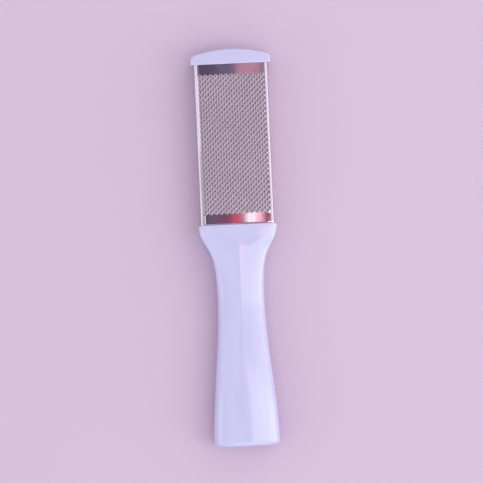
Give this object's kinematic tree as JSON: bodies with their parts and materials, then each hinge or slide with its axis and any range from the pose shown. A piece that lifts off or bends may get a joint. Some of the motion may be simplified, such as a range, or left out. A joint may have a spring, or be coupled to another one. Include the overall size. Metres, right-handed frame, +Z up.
{
  "type": "foot file",
  "caption": "Hand foot file: punched steel rasp on both faces of a flat head, domed end cap and a waisted hollow plastic handle.",
  "frame": {"origin": "on the surface the file lies on, under the middle of its length and width", "axes": "+X along the file towards the end cap, +Y across it, +Z up out of the front rasp"},
  "size_m": [0.141, 0.0284, 0.0106],
  "materials": {
    "handle_plastic": "polished, pale lavender white",
    "core_plastic": "plain moulded",
    "rasp_steel": "polished sheet, punched"
  },
  "bodies": {
    "root": {"handle_front": "handle_plastic", "handle_back": "handle_plastic", "head_core": "core_plastic", "coarse_plate": "rasp_steel", "fine_plate": "rasp_steel", "end_cap": "handle_plastic"}
  },
  "joints": []
}
